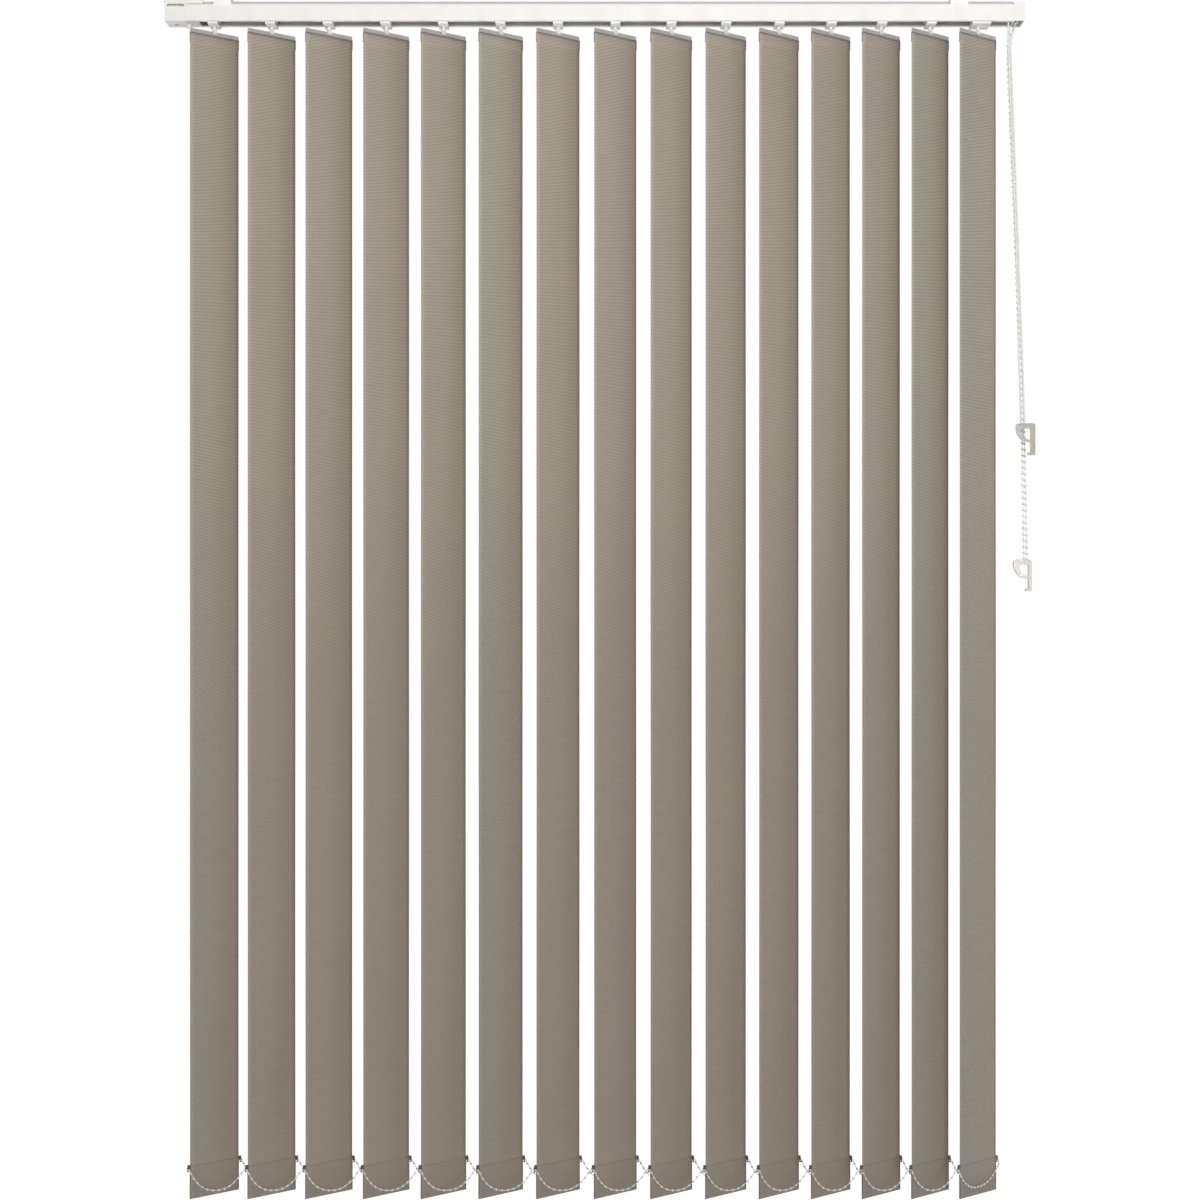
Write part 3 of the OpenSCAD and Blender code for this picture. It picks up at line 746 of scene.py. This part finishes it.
def separate_parts(piece):
    """For each polygon, the lowest and highest corner of the connected solid that it belongs to."""
    mesh = piece.data
    points = np.empty(len(mesh.vertices) * 3)
    mesh.vertices.foreach_get("co", points)
    points = points.reshape(-1, 3)
    _, same = np.unique(np.round(points, 6), axis=0, return_inverse=True)
    same = same.ravel()
    owner = np.arange(same.max() + 1)

    def root(k):
        while owner[k] != k:
            owner[k] = owner[owner[k]]
            k = owner[k]
        return k

    corners = [[same[v] for v in polygon.vertices] for polygon in mesh.polygons]
    for polygon in corners:
        for k in polygon[1:]:
            owner[root(k)] = root(polygon[0])
    label = np.array([root(polygon[0]) for polygon in corners])
    every = np.array([root(k) for k in same])
    boxes = {k: (points[every == k].min(0), points[every == k].max(0)) for k in set(label)}
    return [boxes[k] for k in label]


def finish_fittings(i):
    """White stem, clear hanger, dark weight, white beads."""
    piece = nodes[f"vane_fittings_{tag(i)}"]
    piece.data.materials.clear()
    for material in (WHITE_PLASTIC, GREY_PLASTIC, DARK_PLASTIC, BEAD_PLASTIC):
        piece.data.materials.append(material)
    for polygon, (low, high) in zip(piece.data.polygons, separate_parts(piece)):
        if high[2] > STEM_TOP:
            polygon.material_index = 0
        elif high[2] > HANGER_TOP:
            polygon.material_index = 1
        else:
            polygon.material_index = 2 if low[2] < WEIGHT_LOW else 3


def finish_truck(i):
    """White carrier and worm, bright spacer strip."""
    piece = nodes[f"truck_{tag(i)}"]
    piece.data.materials.clear()
    for material in (WHITE_PLASTIC, BRIGHT_ROD):
        piece.data.materials.append(material)
    for polygon, (low, high) in zip(piece.data.polygons, separate_parts(piece)):
        polygon.material_index = 1 if high[2] - low[2] < STRIP_H else 0


def finish_rail():
    """The recess along the rail's top edge wears painted shade: a greyer copy of the rail's white metal."""
    piece = nodes["head_rail"]
    piece.data.materials.append(RECESS_SHADE_METAL)
    recess_back = rail_low.y + RECESS_DEPTH
    for polygon in piece.data.polygons:
        centre = polygon.center
        polygon.material_index = int(centre.z > RECESS_LOW and centre.y < recess_back)


def soften(piece, width):
    """Takes the sharpness off a solid's edges."""
    weld = piece.modifiers.new("weld", "WELD")
    weld.merge_threshold = 0.000002
    edge = piece.modifiers.new("edges", "BEVEL")
    edge.width = width
    edge.segments = 2
    edge.limit_method = "ANGLE"
    edge.angle_limit = math.radians(50)
    edge.use_clamp_overlap = True


FINISHES = {
    "head_rail": WHITE_METAL,
    "ceiling_brackets": BRACKET_LIT_METAL,
    "idler_end_cap": WHITE_PLASTIC,
    "control_end_cap": WHITE_PLASTIC,
    "tilt_rod": BRIGHT_ROD,
    "chain_wheel": WHITE_PLASTIC,
    "front_cord_pulley": WHITE_PLASTIC,
    "rear_cord_pulley": WHITE_PLASTIC,
    "return_pulley": WHITE_PLASTIC,
    "cord_hold_down": hold_down_finish("cord_hold_down_plastic", (610.55, -17.97), -25),
    "chain_hold_down": hold_down_finish("chain_hold_down_plastic", (610.6, 10), 0),
}
for name, material in FINISHES.items():
    nodes[name].data.materials.clear()
    nodes[name].data.materials.append(material)
finish_rail()
for number in range(1, VANES + 1):
    finish_fittings(number)
    finish_truck(number)
for name in ("head_rail", "ceiling_brackets", "idler_end_cap", "control_end_cap"):
    soften(nodes[name], SHELL_EDGE)
for name in ("cord_hold_down", "chain_hold_down"):
    soften(nodes[name], CLIP_EDGE)


# Light, floor and background

def direct_rays(tree):
    """1 where the eye meets the surface directly, in a mirror or through a clear piece."""
    path = tree.nodes.new("ShaderNodeLightPath")
    mirror = math_node(tree, "MAXIMUM", path.outputs["Is Glossy Ray"], path.outputs["Is Transmission Ray"])
    return math_node(tree, "MAXIMUM", path.outputs["Is Camera Ray"], mirror)


def make_world():
    """Soft light all round; seen directly or in gloss, plain white."""
    world = bpy.data.worlds.new("studio")
    bpy.context.scene.world = world
    world.use_nodes = True
    tree = world.node_tree
    tree.nodes.clear()
    out = tree.nodes.new("ShaderNodeOutputWorld")
    light, seen = tree.nodes.new("ShaderNodeBackground"), tree.nodes.new("ShaderNodeBackground")
    light.inputs["Color"].default_value = (1, 1, 1, 1)
    light.inputs["Strength"].default_value = WORLD_LIGHT
    seen.inputs["Color"].default_value = (1, 1, 1, 1)
    seen.inputs["Strength"].default_value = 1.0
    mix = tree.nodes.new("ShaderNodeMixShader")
    tree.links.new(direct_rays(tree), mix.inputs[0])
    tree.links.new(light.outputs[0], mix.inputs[1])
    tree.links.new(seen.outputs[0], mix.inputs[2])
    tree.links.new(mix.outputs[0], out.inputs["Surface"])


def make_floor():
    """A pale floor below the vanes, white to the eye, with a faint shadow."""
    half = FLOOR_HALF
    level = cloth_low.z - FLOOR_DROP
    data = bpy.data.meshes.new("floor")
    corners = [(-half, -half, level), (half, -half, level), (half, half, level), (-half, half, level)]
    data.from_pydata(corners, [], [(0, 1, 2, 3)])
    floor = bpy.data.objects.new("floor", data)
    bpy.context.scene.collection.objects.link(floor)
    material, tree, shader = start("pale_floor")
    shader.inputs["Base Color"].default_value = (FLOOR_GREY, FLOOR_GREY, FLOOR_GREY, 1)
    shader.inputs["Roughness"].default_value = 0.9
    glow = tree.nodes.new("ShaderNodeEmission")
    glow.inputs["Strength"].default_value = FLOOR_GLOW
    mix = tree.nodes.new("ShaderNodeMixShader")
    tree.links.new(math_node(tree, "MULTIPLY", direct_rays(tree), FLOOR_WHITE), mix.inputs[0])
    tree.links.new(shader.outputs[0], mix.inputs[1])
    tree.links.new(glow.outputs[0], mix.inputs[2])
    tree.links.new(mix.outputs[0], tree.nodes["Material Output"].inputs["Surface"])
    data.materials.append(material)


def make_lamp(name, place, target, size, power, spread_deg=180):
    """A soft rectangular lamp."""
    data = bpy.data.lights.new(name, "AREA")
    data.shape = "RECTANGLE"
    data.size, data.size_y = size
    data.energy = power
    data.spread = math.radians(spread_deg)
    lamp = bpy.data.objects.new(name, data)
    lamp.location = place
    aim = Vector(target) - Vector(place)
    lamp.rotation_euler = aim.to_track_quat("-Z", "Y").to_euler()
    bpy.context.scene.collection.objects.link(lamp)


def make_sun(name, heading, softness_deg, power):
    """Even light from far away."""
    data = bpy.data.lights.new(name, "SUN")
    data.angle = math.radians(softness_deg)
    data.energy = power
    lamp = bpy.data.objects.new(name, data)
    lamp.rotation_euler = Vector(heading).to_track_quat("-Z", "Y").to_euler()
    bpy.context.scene.collection.objects.link(lamp)


make_world()
make_floor()
make_lamp("key", place=(0.65, -1.5, 0.0), target=(0.65, 0, 0.0), size=(2.7, 0.5), power=11.6)
make_lamp("fill", place=(-1.9, -1.9, 0.1), target=(-0.4, 0, -0.1), size=(0.8, 0.8), power=5.6)
make_lamp("uplight", place=(0, -0.5, -1.72), target=(0, -0.5, 0), size=(1.3, 0.15), power=3.2, spread_deg=60)
make_sun("front", heading=(-0.2, 1, -0.06), softness_deg=12, power=0.81)
make_sun("back", heading=(0.25, -1, -0.7), softness_deg=20, power=1.5)

bpy.context.scene.view_settings.view_transform = "Standard"
